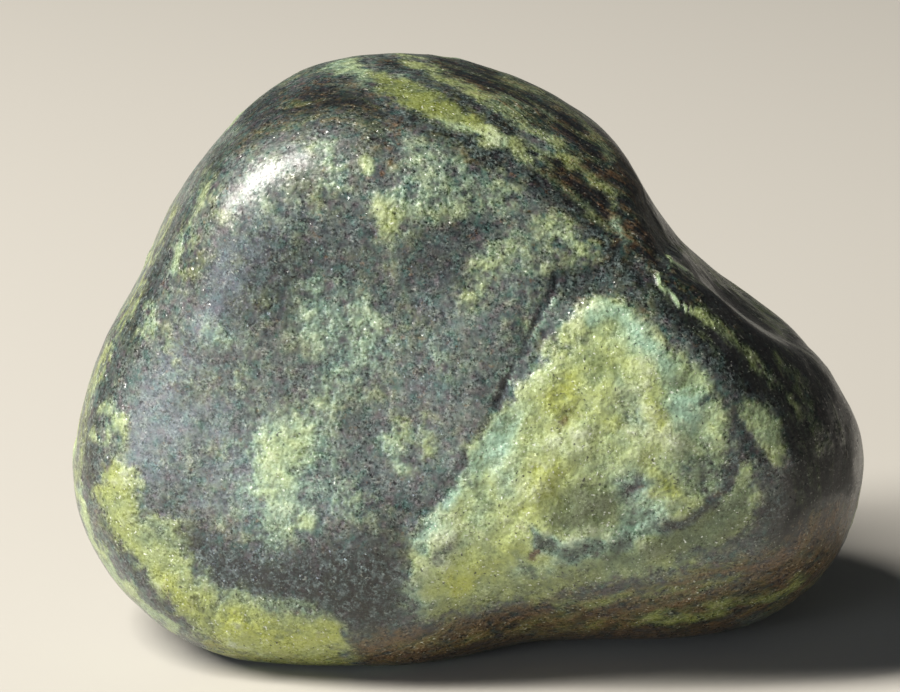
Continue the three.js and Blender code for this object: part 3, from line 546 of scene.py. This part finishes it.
# What the rock is where no mark lies: haze is scattered pale rock, bodies are whole patches of it, and
# bands are layers of it that show where the surface cuts across them. The layers lie square to a
# direction, bend over the crown, and wave. Bodies and bands come in where the front's marks end.
# A noise is the size of its largest cells, octaves, how much each octave keeps, and a seed.
groundPattern = {
    # middle, swing to either side, noise
    "haze": (0.1, 0.14, (3.2, 3, 0.7, 11)),
    "hue": (0.4, 0.45, (4, 2, 0.6, 31)),
    "ink": (0.25, 0.3, (5, 3, 0.6, 41)),
    "waves": (0, 3.2, (11, 2, 0.5, 15)),
    "layerAcross": (0.15, 0.97, -0.2),
    "crownBend": (0.3, 24, 34),    # how much, and between which heights it comes in
    "lumpy": 0.2,
    "bodies": {"noise": (8, 4, 0.55, 35), "edge": (0.12, 0.6), "pale": 0.84, "lumpy": 0.8},
    "banded": {"noise": (13, 2, 0.5, 25), "edge": (-0.25, 0.45), "least": 0.12, "most": 0.75},
    "bands": {"noise": (1, 3, 0.6, 21), "spacing": 1.5, "length": 8, "edge": (-0.05, 0.45), "pale": 0.7},
}


# How points look to the layout eye: millimetres right and up of where it looks, scaled to that distance,
# and how squarely the normal faces the eye (1 is straight at it).
def seenFromFront(points, normals):
    azimuth, distance = layoutEye["azimuth"], layoutEye["distance"]
    toEye = facing(azimuth, layoutEye["elevation"])
    right = np.array([np.cos(np.radians(azimuth)), np.sin(np.radians(azimuth)), 0])
    up = np.cross(toEye, right)
    away = points - np.array(frontMiddle) - toEye * distance
    depth = -away @ toEye
    across = np.stack([away @ right, away @ up], -1) * (distance / depth)[:, None]
    squareness = -(normals * away).sum(-1) / np.linalg.norm(away, axis=-1)
    return across, squareness


# Distance inside an outline, negative outside: to its nearest edge, with the sign from how many edges a
# line to the right crosses.
def outlineDepth(places, outline):
    outline = np.array(outline, float)
    nearest = lineDistance(places, np.vstack([outline, outline[:1]]))
    x, y = places[:, 0], places[:, 1]
    inside = np.zeros(len(places), bool)
    for (x0, y0), (x1, y1) in zip(outline, np.roll(outline, -1, axis=0)):
        crosses = (y0 > y) != (y1 > y)
        if y0 != y1:
            inside ^= crosses & (x < (x1 - x0) * (y - y0) / (y1 - y0) + x0)
    return np.where(inside, nearest, -nearest)


# Lays marks over the channels, in order: each channel that a mark sets goes to its value by the share of
# the mark at that point, which falls off over its soft edge and where the stone turns away. A mark is only
# worked out near its own box, which its swelling and its soft edge widen.
def layMarks(channels, points, normals, marks):
    across, squareness = seenFromFront(points, normals)
    steady = across
    for cell, shift, seed in layoutEye["warp"]:
        moves = [slopeNoise(points, cell, seed), slopeNoise(points, cell, seed + 1)]
        across = across + shift * np.stack(moves, -1)
    cell, share, seed = layoutEye["thin"]
    swell = 1 + share * slopeNoise(points, cell, seed)
    inView = smoothStep(squareness, 0, layoutEye["grazing"])
    for mark in marks.values():
        route = np.array(mark.get("outline") or mark["line"], float)
        reach = 2 * (mark.get("width", 0) + mark["soft"])
        places = steady if mark.get("steady") else across
        inBox = (places > route.min(0) - reach) & (places < route.max(0) + reach)
        near = (squareness > 0) & inBox.all(-1)
        if not near.any():
            continue
        if "outline" in mark:
            depth = outlineDepth(places[near], mark["outline"])
        else:
            width = mark["width"] * (1 if mark.get("steady") else swell[near])
            depth = width - lineDistance(places[near], mark["line"])
        share = smoothStep(depth, -mark["soft"], mark["soft"]) * inView[near]
        for channel in channels:
            if channel in mark:
                channels[channel][near] += (mark[channel] - channels[channel][near]) * share


# A value that swings to either side of its middle with noise.
def cloudy(points, middle, swing, noise):
    return middle + swing * layeredNoise(points, *noise)


# The channels before any mark. The layer channel is how far along the direction across the layers a point
# lies, with the bend and the waves added. Bodies and bands grow where their noise passes from one edge
# value to the other.
def groundChannels(points, normals):
    ground = groundPattern
    bend, low, high = ground["crownBend"]
    layer = points @ np.array(ground["layerAcross"])
    layer += bend * points[:, 0] * smoothStep(points[:, 2], low, high)
    layer += cloudy(points, *ground["waves"])
    squareness = seenFromFront(points, normals)[1]
    beyondFront = 1 - smoothStep(squareness, 0, layoutEye["frontEnd"])
    haze = cloudy(points, *ground["haze"])
    bodies = ground["bodies"]
    body = smoothStep(layeredNoise(points, *bodies["noise"]), *bodies["edge"]) * beyondFront
    banding = ground["banded"]
    banded = smoothStep(layeredNoise(points, *banding["noise"]), *banding["edge"])
    banded = banding["least"] + (banding["most"] - banding["least"]) * banded
    return {
        "pale": haze + (bodies["pale"] - haze) * body,
        "hue": cloudy(points, *ground["hue"]),
        "ink": cloudy(points, *ground["ink"]),
        "rust": np.zeros(len(points)),
        "lumpy": ground["lumpy"] + (bodies["lumpy"] - ground["lumpy"]) * body,
        "banded": banded * beyondFront * (1 - body),
        "layer": layer,
    }


# Pale bands from noise that changes fast across the layers and slowly along them, laid over what is there
# by how much the layers show.
def addBands(channels, points):
    bands = groundPattern["bands"]
    across = channels["layer"][:, None] / bands["spacing"] * layerSlopes
    band = smoothStep(layeredNoise(points / bands["length"] + across, *bands["noise"]), *bands["edge"])
    share = band * np.clip(channels["banded"], 0, 1)
    channels["pale"] += (np.maximum(channels["pale"], bands["pale"]) - channels["pale"]) * share


# Low relief in millimetres, along the normal. Lumps and pits stand where the stone has worn unevenly; the
# rest has worn smooth.
stoneRelief = {
    "lumpy": [(0.27, (3.2, 2, 0.5, 71)), (0.1, (1.3, 2, 0.5, 81))],  # height, noise
    "smooth": [(0.05, (3.5, 2, 0.5, 91))],
    "raised": 0.1,       # the height at which the raised channel is 1
    "fadeBelow": 1.5,    # height above the table under which the relief fades out
}

# Cuts on the front, in millimetres, laid like marks, and some along a mark's line; a depth below 0 stands
# proud.
frontCuts = {
    "patchDent": line(0.3, 1.1, [(6.7, -5.5), (8.2, -4.2)], depth=0.3),
    "patchHollow": area(1.3, [(7.2, -10.1), (9.9, -9.7), (12.5, -10.1), (13.6, -11.5), (12.5, -12.6),
        (9.9, -13.2), (7.5, -12.8)], depth=0.25),
    "patchStep": line(0.2, 1.2, [(9.9, -6.2), (11.8, -4.9), (12.5, -3.3)], depth=0.2),
    "patchSide": line(0.2, 1.1, [(15.8, -6.8), (17, -5.5), (17.2, -3.8)], depth=0.22),
    "patchRidge": line(0.3, 1.2, [(8.9, -1.3), (10.9, -4.9)], depth=-0.16),
    "patchRidge2": line(0.3, 1.2, [(5.9, -9.5), (7, -7.9), (9.2, -6.8)], depth=-0.16),
    "patchRidge3": line(0.3, 1.2, [(13.6, -3.6), (14.1, -6.2), (15.1, -8.2)], depth=-0.16),
    "patchEnd": line(0.3, 1.4, [(0.1, -15.9), (5.9, -12.1)], depth=-0.14),
    "wedge": area(0.6, [(12.2, 9.6), (13.3, 6.3), (13.8, 5.1), (14.3, 5.1), (14.5, 5.9), (15.4, 6.8),
        (14.9, 7.9), (13.2, 9.9)], depth=0.3),
    "shelf": area(0.12, [(13.2, 5.1), (13.8, 4.1), (15.3, 2.6), (15.8, 2.3), (16.6, 2.1), (17.5, 1.3),
        (16.5, 1.1), (14.5, 1.8), (12.5, 3.7), (12.2, 5)], steady=1, depth=0.1),
    "lip2": line(0.07, 0.12, frontMarks["lipHighlight2"]["line"], steady=1, depth=-0.08),
    "lip1": line(0.07, 0.12, [(14.5, 5.9), (14.7, 5.5), (16, 4.6)], steady=1, depth=-0.08),
    "groove": line(0.08, 0.2, frontMarks["groove"]["line"], depth=0.17),
    "grooveSide": line(0.06, 0.14, [(6.5, 1.1), (5.9, -0.3), (5.3, -1.4)], depth=0.1),
    "tealPit": line(0.22, 0.25, [(6, -12.8), (6.7, -13.4), (7.6, -13.9), (8.6, -13.8), (9.3, -13.3),
        (10.1, -13.4), (11.5, -13.2), (12.5, -12.8), (13.5, -12.2)], depth=0.14),
    "rightPit": line(0.25, 0.3, frontMarks["rightStreak"]["line"][:6], depth=0.1),
}


# The stone: a shell pushed out to the form, its channels from the ground and the marks, its relief along
# the normals, and its box made the same as the solid's.
def buildStone():
    cells = stoneForm["cells"]
    directions, squares = cubeShell(cells)
    points, onFloor = surfacePoints(directions)
    normals = formNormals(points, onFloor)
    print("stone form worked out:", len(points), "points")
    channels = groundChannels(points, normals)
    layMarks(channels, points, normals, frontMarks)
    addBands(channels, points)
    print("marks laid:", len(frontMarks))

    lumpy = channels.pop("lumpy")
    height = np.zeros(len(points))
    for part, layers in ((lumpy, stoneRelief["lumpy"]), (1 - lumpy, stoneRelief["smooth"])):
        for swing, noise in layers:
            height += part * cloudy(points, 0, swing, noise)
    channels["raised"] = height / stoneRelief["raised"]
    cuts = {"depth": np.zeros(len(points))}
    layMarks(cuts, points, normals, frontCuts)
    height = (height - cuts["depth"]) * smoothStep(points[:, 2], 0, stoneRelief["fadeBelow"])
    height[onFloor] = 0
    points = points + normals * height[:, None]
    points[:, 2] = np.maximum(points[:, 2], 0)

    low, high = points.min(0), points.max(0)
    boxLow, boxHigh = (np.array(corner) / millimetre for corner in stoneBox)
    print("own box", np.round(high - low, 3), "solid's box", np.round(boxHigh - boxLow, 3))
    points = (points - low) / (high - low) * (boxHigh - boxLow) + boxLow

    mesh = bpy.data.meshes.new("serpentineStone")
    mesh.from_pydata((points * millimetre).tolist(), [], squares.tolist())
    mesh.polygons.foreach_set("use_smooth", np.ones(len(mesh.polygons), bool))
    for name, values in channels.items():
        attribute = mesh.attributes.new(name, "FLOAT", "POINT")
        attribute.data.foreach_set("value", values.astype(np.float32))
    mesh.update()
    stone = bpy.data.objects.new("serpentineStone", mesh)
    bpy.context.scene.collection.objects.link(stone)
    return stone


# sRGB hex to linear red, green, blue and alpha 1.
def hexColour(text):
    parts = [int(text[i:i + 2], 16) / 255 for i in (1, 3, 5)]
    return [part / 12.92 if part <= 0.04045 else ((part + 0.055) / 1.055) ** 2.4 for part in parts] + [1]


# What materials are made of, each by a short word: the node's type, the sockets that its inputs go to in
# turn, the output that is used, and its settings.
nodeWords = {
    "position": ("TexCoord", (), "Object", {}),
    "channel": ("Attribute", (), "Fac", {}),
    "noise": ("TexNoise", ("Vector", "Scale", "Detail", "Roughness"), "Fac", {}),
    "cells": ("TexVoronoi", ("Vector", "Scale"), "Color", {}),
    "sum": ("Math", (0, 1), 0, {"operation": "ADD"}),
    "product": ("Math", (0, 1), 0, {"operation": "MULTIPLY"}),
    "larger": ("Math", (0, 1), 0, {"operation": "MAXIMUM"}),
    # a straight run, from the second input at share 0 to the third at share 1
    "fromTo": ("MapRange", ("Value", "To Min", "To Max"), 0, {"clamp": False}),
    # 0 at one bound, most at the other, and smooth between them; the first bound may be the higher
    "rise": (
        "MapRange",
        ("Value", "From Min", "From Max", "To Max"),
        0,
        {"interpolation_type": "SMOOTHSTEP"},
    ),
    "mix": ("Mix", (0, 6, 7), 2, {"data_type": "RGBA"}),
    "grey": ("RGBToBW", (0,), 0, {}),
    "vector": ("CombineXYZ", (0, 1, 2), 0, {}),
    "moved": ("VectorMath", (0, 1), 0, {"operation": "ADD"}),
    "scaled": ("VectorMath", (0, "Scale"), 0, {"operation": "SCALE"}),
    "atLeast": ("VectorMath", (0, 1), 0, {"operation": "MAXIMUM"}),
    "unit": ("VectorMath", (0,), 0, {"operation": "NORMALIZE"}),
    "bump": ("Bump", ("Height", "Distance"), 0, {}),
    "shader": (
        "BsdfPrincipled",
        ("Base Color", "Metallic", "Roughness", "IOR", "Normal", "Coat Weight", "Coat Roughness"),
        0,
        {},
    ),
    "result": ("OutputMaterial", ("Surface",), None, {}),
}


# Adds the node that a word stands for to a tree and gives its output. Inputs are values or other nodes'
# outputs, in the order of the word's sockets; more settings may follow.
def addNode(tree, word, *inputs, **more):
    kind, sockets, output, settings = nodeWords[word]
    node = tree.nodes.new("ShaderNode" + kind)
    for name, value in {**settings, **more}.items():
        setattr(node, name, value)
    for socket, value in zip(sockets, inputs):
        if isinstance(value, bpy.types.NodeSocket):
            tree.links.new(value, node.inputs[socket])
        else:
            node.inputs[socket].default_value = value
    return node if output is None else node.outputs[output]


# Serpentinite, tumbled to a silky sheen: a dark matrix of antigorite and magnetite grains that glitter a
# little, from crystal faces that lean and from painted glints, with bodies of pale waxy serpentine that lets
# some light in, and iron-stained cracks. The eye sees colours that run softly into each other under an even
# fine grain, and a soft wide highlight that breaks up into grains.
serpentineLook = {
    "matrixBase": "#20262a",
    "paleBase": "#93b39a",
    # each is laid over those before it: none of it at the first value, and at the second as much as the
    # third says
    "colours": {
        "matrixGrey": ("#5d6664", 0, 1, 1),
        "matrixTeal": ("#3c645c", 0.5, 0.72, 0.5),
        "matrixViolet": ("#615157", 0.5, 0.3, 0.45),
        "matrixBrown": ("#68503a", 0.2, 0.6, 0.7),
        "matrixBlack": ("#0c0f10", 0.3, 1.1, 0.92),
        "matrixFleck": ("#5a6766", 0.43, 0.66, 0.7),
        "paleGreen": ("#a0ae78", 0, 0.6, 1),
        "paleYellow": ("#a8b052", 0.4, 1.1, 1),
        "paleWhite": ("#c6d0b2", 0, 0.9, 0.8),
        "paleShade": ("#667446", 0, -0.8, 0.85),
        "paleDeep": ("#3f4b2c", 0.2, 1, 0.85),
        "rust": ("#66492f", 0.15, 0.85, 0.75),
        "paintedGlint": ("#eef2e4", 0.71, 0.82, 0.6),
        "speck": ("#1d211b", 0.26, 0.16, 0.8),
    },
    # size in mm of the largest lobes, octaves, how much each octave keeps, and a shift that sets the
    # noises apart; real grains are 0.05 to 0.4 mm, and none is drawn finer than can show
    "noises": {
        "drift": (2.6, 3, 0.6, 31),
        "edge": (1, 2, 0.6, 0),
        "plain": (0.8, 2, 0.6, 141),
        "tint": (0.65, 2, 0.55, 53),
        "brown": (0.6, 2, 0.7, 71),
        "clump": (0.45, 1, 0.6, 7.3),
        "fleck": (0.5, 3, 0.8, 67),
        "darkSpot": (0.32, 1, 0.6, 103),
        "lightSpot": (0.3, 1, 0.6, 97),
        "loose": (0.3, 1, 0.6, 151),
        "speck": (0.21, 0, 0.5, 113),
        "fine": (0.19, 2, 0.8, 17),
        "paintedGlint": (0.17, 0, 0.5, 91),
    },
    # how far noises swing to either side
    "sways": {
        "ink": {"drift": 0.35, "edge": 0.4, "clump": 0.4},
        "light": {"edge": 0.4, "clump": 0.8},
        "brown": {"brown": 1},
        "hue": {"drift": 0.4, "edge": 0.2},
        "cloud": {"edge": 0.75, "clump": 0.35, "drift": 0.5},
        "stir": {"edge": 0.75, "clump": 0.4, "drift": 0.5},
        "stain": {"edge": 0.4, "clump": 0.4},
        "grain": {"fine": 1},
    },
    "streak": (0.45, 4, 2, 0.6, 13),  # mm across and along, then as for the noises
    # how much channels and streaks add
    "rustBrowns": 0.5,
    "reliefLightAndShade": 0.2,
    "streaksPale": 0.9,
    # pairs: at 0 and at 1 of a channel
    "lightByInk": (0.75, 0.15),
    "stirByBanded": (1, 0.3),
    "grainByInk": (0.85, 1.65),
    # pairs: in the matrix and in pale rock
    "grainByPale": (1.7, 0.6),   # how much lighter or darker single grains are, as a share of the colour
    "paintedGlintsByPale": (0.14, 0.8),
    "tiltByPale": (0.12, 0.15),  # how far crystal faces lean from the surface
    "roughnessByPale": (0.38, 0.44),
    "reliefByPale": (0.45, 1.45),
    "leastStir": 0.3,            # how much of the stir is left where the rock is all pale or all dark
    "edgeRange": (-0.05, 1),     # the share of pale where it begins to show, and where it is all pale
    "fleckInk": (0.5, 0.8),      # how black the rock is where light flecks come in, and where all are there
    "fleckBanded": (0.4, 0.1),   # how layered it is where there are none, and where all are there
    "grainGrey": 0.4,            # share of a grain's shade that is grey; the rest is the rock's own colour
    "plainRange": (0.3, 0.7, 1.7),   # where single grains come in, and how much they show there
    "plainLeast": 0.25,              # how much they show elsewhere
    "spots": {"lightSpot": (0.6, 0.8, 0.5), "darkSpot": (0.4, 0.2, -0.5)},
    "darkest": 0.004,                # least red, green and blue of any grain
    "facetCell": 0.16,               # mm across a crystal face
    "looseRange": (0.6, 0.66),   # a few crystals stand loose: they lean further and are smooth, and flash
    "looseTilt": 0.5,
    "looseRoughness": 0.6,
    "dullRange": (1, 1.3),       # how black the hollows are that wear doesn't reach, and which stay dull
    "dullRoughness": 0.3,
    "dullPolish": 0.1,
    "polish": 0.42,              # share of the surface that tumbling has left glossy
    "polishRoughness": 0.27,
    "reliefHeight": 0.06,        # mm
    "fineRelief": 0.4,           # how high the finest grains stand, against the larger ones
    "index": 1.56,
    "metallic": 0,
}


# Shares of the colours come from noises of several sizes added to the vertex channels. Each noise swings
# about 0, so a channel's value is still what shows from far off.
def serpentineMaterial():
    look = serpentineLook
    material = bpy.data.materials.new("tumbledSerpentine")
    material.use_nodes = True
    material.node_tree.nodes.clear()
    add = partial(addNode, material.node_tree)

    # values joined two by two by the same node, such as the sum of several
    def join(word, *values):
        return reduce(partial(add, word), values)

    # a named colour over another, by where a value lies in the colour's range, times any shares
    def laid(under, name, value, *shares):
        text, low, high, most = look["colours"][name]
        part = join("product", add("rise", value, low, high, most), *shares)
        return add("mix", part, under, hexColour(text))

    # noise whose largest lobes are a cell wide, in places that a shift sets apart from other noises
    def cloud(places, cell, octaves, keep, shift):
        moved = add("moved", places, (shift, shift * 0.7, -shift))
        return add("noise", moved, 1 / cell, octaves, keep)

    rock = add("scaled", add("position"), 1 / millimetre)
    noises = {name: cloud(rock, *row) for name, row in look["noises"].items()}
    names = ["pale", "hue", "ink", "rust", "banded", "layer", "raised"]
    channels = {name: add("channel", attribute_name=name) for name in names}

    # a sway's noises added up, each taken from 0 and 1 to minus and plus its reach
    def sway(name):
        reaches = look["sways"][name].items()
        return join("sum", *(add("fromTo", noises[each], -reach, reach) for each, reach in reaches))

    # layers: noise that changes fast across them and slowly along them
    thick, long, *octaves = look["streak"]
    across = add("vector", *(add("product", channels["layer"], part) for part in layerSlopes))
    layers = add("moved", add("scaled", rock, thick / long), across)
    streaks = add("product", add("fromTo", cloud(layers, thick, *octaves), -1, 1), channels["banded"])

    # matrix: lighter and darker clouds, some blue-green, some violet, some brown; ink makes it black, and
    # light flecks lie in the black where it isn't layered
    ink = add("sum", channels["ink"], sway("ink"))
    light = join("sum", add("fromTo", ink, *look["lightByInk"]), sway("light"), streaks)
    brown = add("sum", sway("brown"), add("product", channels["rust"], look["rustBrowns"]))
    black = add("rise", channels["ink"], *look["fleckInk"])
    unlayered = add("rise", channels["banded"], *look["fleckBanded"])
    matrix = laid(hexColour(look["matrixBase"]), "matrixGrey", light)
    matrix = laid(matrix, "matrixTeal", noises["tint"])
    matrix = laid(matrix, "matrixViolet", noises["tint"])
    matrix = laid(matrix, "matrixBrown", brown)
    matrix = laid(matrix, "matrixBlack", ink)
    matrix = laid(matrix, "matrixFleck", noises["fleck"], black, unlayered)

    # pale serpentine: blue-green to yellow-green, with whiter and shaded clouds, and painted light and shade
    # that follow the relief: lighter on raised lumps, darker in their hollows
    hue = add("sum", channels["hue"], sway("hue"))
    whiter = add("sum", sway("cloud"), add("product", channels["raised"], look["reliefLightAndShade"]))
    pale = laid(hexColour(look["paleBase"]), "paleGreen", hue)
    pale = laid(pale, "paleYellow", hue)
    pale = laid(pale, "paleWhite", whiter)
    pale = laid(pale, "paleShade", whiter)
    pale = laid(pale, "paleDeep", channels["ink"])

    # the two run into each other: noise moves the share of pale most where it is near a half, where
    # 4s(1 - s) is 1, and least in layered rock, where the streaks do it
    share = add("sum", channels["pale"], add("product", streaks, look["streaksPale"]))
    evenness = add("product", share, add("fromTo", share, 4, 0))
    evenness = add("larger", evenness, look["leastStir"])
    stir = join("product", sway("stir"), add("fromTo", channels["banded"], *look["stirByBanded"]), evenness)
    palePart = add("rise", add("sum", share, stir), *look["edgeRange"])
    colour = add("mix", palePart, matrix, pale)
    colour = laid(colour, "rust", join("sum", channels["rust"], sway("stain"), streaks))

    # single grains are lighter or darker, by a share of the rock's brightness there; they show more in
    # some places than in others, and most in the black rock
    showing = add("sum", add("rise", noises["plain"], *look["plainRange"]), look["plainLeast"])
    spots = [add("rise", noises[name], *row) for name, row in look["spots"].items()]
    grain = join("sum", add("product", sway("grain"), showing), *spots)
    inPale = add("fromTo", palePart, *look["grainByPale"])
    inBlack = add("fromTo", channels["ink"], *look["grainByInk"])
    shade = add("mix", look["grainGrey"], colour, add("grey", colour))
    shade = add("scaled", shade, join("product", grain, inPale, inBlack))
    colour = add("atLeast", add("moved", colour, shade), (look["darkest"],) * 3)

    # painted glints: a few light flecks stand in for crystal faces that flash, and a few magnetite grains are
    # black
    paintedGlinting = add("fromTo", palePart, *look["paintedGlintsByPale"])
    colour = laid(colour, "paintedGlint", noises["paintedGlint"], paintedGlinting, showing)
    colour = laid(colour, "speck", noises["speck"])

    # crystal faces lean each its own way, by a random direction round 0, which breaks the highlight up
    # into grains
    loose = add("rise", noises["loose"], *look["looseRange"])
    tilt = add("fromTo", palePart, *look["tiltByPale"])
    tilt = add("sum", tilt, add("product", loose, look["looseTilt"]))
    facets = add("moved", add("cells", rock, 1 / look["facetCell"]), (-0.5, -0.5, -0.5))
    height = join("sum", noises["clump"], noises["edge"], add("product", noises["fine"], look["fineRelief"]))
    height = add("product", height, add("fromTo", palePart, *look["reliefByPale"]))
    bump = add("bump", height, look["reliefHeight"] * millimetre)
    normal = add("unit", add("moved", bump, add("scaled", facets, tilt)))

    # smoother where crystals stand loose, and dull in the black hollows, among them the notch, whose black is
    # painted shadow
    dull = add("rise", channels["ink"], *look["dullRange"])
    smoother = add("fromTo", loose, 1, look["looseRoughness"])
    roughness = add("product", add("fromTo", palePart, *look["roughnessByPale"]), smoother)
    roughness = add("sum", roughness, add("product", dull, look["dullRoughness"]))
    polish = add("product", add("fromTo", dull, 1, look["dullPolish"]), look["polish"])
    base = (colour, look["metallic"], roughness, look["index"], normal)
    add("result", add("shader", *base, polish, look["polishRoughness"]))
    return material


# The table, the world's light and the softboxes. Softboxes: azimuth, elevation, then distance and size in
# metres, watts, colour.
studio = {
    "floorSize": 3,         # metres
    "floorDrop": 0.02,      # mm below the stone's resting face
    "floorColour": "#bab7b0",
    "floorRoughness": 0.9,
    "floorSpecular": 0.2,
    "worldColour": "#e4eaf2",
    "worldStrength": 0.045,
    "softboxes": {
        "keySoftbox": (-73, 48, 0.7, (0.14, 0.5), 11.2, "#fffaf2"),
        "sideSoftbox": (-46, 4, 0.7, (0.3, 0.2), 1.8, "#e6f0ff"),
        "fillSoftbox": (-10, 12, 0.9, (0.8, 0.8), 0.4, "#f2f5ff"),
    },
    # degrees, then metres; lens and sensor in mm
    "camera": {
        "azimuth": 0,
        "elevation": 17,
        "distance": 0.26,
        "clipStart": 0.01,
        "lens": 158,
        "sensor": 36,
    },
}


# A wide flat table just below the stone.
def paleTable():
    half = studio["floorSize"] / 2
    drop = -studio["floorDrop"] * millimetre
    mesh = bpy.data.meshes.new("paleTable")
    corners = [(-half, -half, drop), (half, -half, drop), (half, half, drop), (-half, half, drop)]
    mesh.from_pydata(corners, [], [(0, 1, 2, 3)])
    floor = bpy.data.objects.new("paleTable", mesh)
    bpy.context.scene.collection.objects.link(floor)
    material = bpy.data.materials.new("pale matt paint")
    material.use_nodes = True
    shader = material.node_tree.nodes["Principled BSDF"]
    shader.inputs["Base Color"].default_value = hexColour(studio["floorColour"])
    shader.inputs["Roughness"].default_value = studio["floorRoughness"]
    shader.inputs["Specular IOR Level"].default_value = studio["floorSpecular"]
    mesh.materials.append(material)
    return floor


# Even light from all round.
def paleWorld():
    world = bpy.data.worlds.new("paleStudio")
    world.use_nodes = True
    background = world.node_tree.nodes["Background"]
    background.inputs["Color"].default_value = hexColour(studio["worldColour"])
    background.inputs["Strength"].default_value = studio["worldStrength"]
    bpy.context.scene.world = world


# Puts a light or the camera at a distance in metres from the middle of the front, which it looks at.
def placeLooking(thing, azimuth, elevation, distance):
    aim = Vector(frontMiddle) * millimetre
    thing.location = aim + Vector(facing(azimuth, elevation)) * distance
    thing.rotation_euler = (thing.location - aim).to_track_quat("Z", "Y").to_euler()
    bpy.context.scene.collection.objects.link(thing)


# A rectangular area light, even over its size.
def softLight(name, azimuth, elevation, distance, size, power, colour):
    light = bpy.data.lights.new(name, "AREA")
    light.energy = power
    light.shape = "RECTANGLE"
    light.size, light.size_y = size
    light.color = hexColour(colour)[:3]
    placeLooking(bpy.data.objects.new(name, light), azimuth, elevation, distance)


# A plain camera, which becomes the scene's.
def placeCamera():
    view = studio["camera"]
    camera = bpy.data.objects.new("camera", bpy.data.cameras.new("camera"))
    camera.data.lens = view["lens"]
    camera.data.sensor_width = view["sensor"]
    camera.data.clip_start = view["clipStart"]
    placeLooking(camera, view["azimuth"], view["elevation"], view["distance"])
    bpy.context.scene.camera = camera


stone = buildStone()
stone.data.materials.append(serpentineMaterial())
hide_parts("stone")
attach(stone, "root")
print("stone built:", len(stone.data.polygons), "squares")

paleTable()
for name, settings in studio["softboxes"].items():
    softLight(name, *settings)
paleWorld()
bpy.context.scene.view_settings.view_transform = "Standard"
placeCamera()
print("table, lights and camera placed")
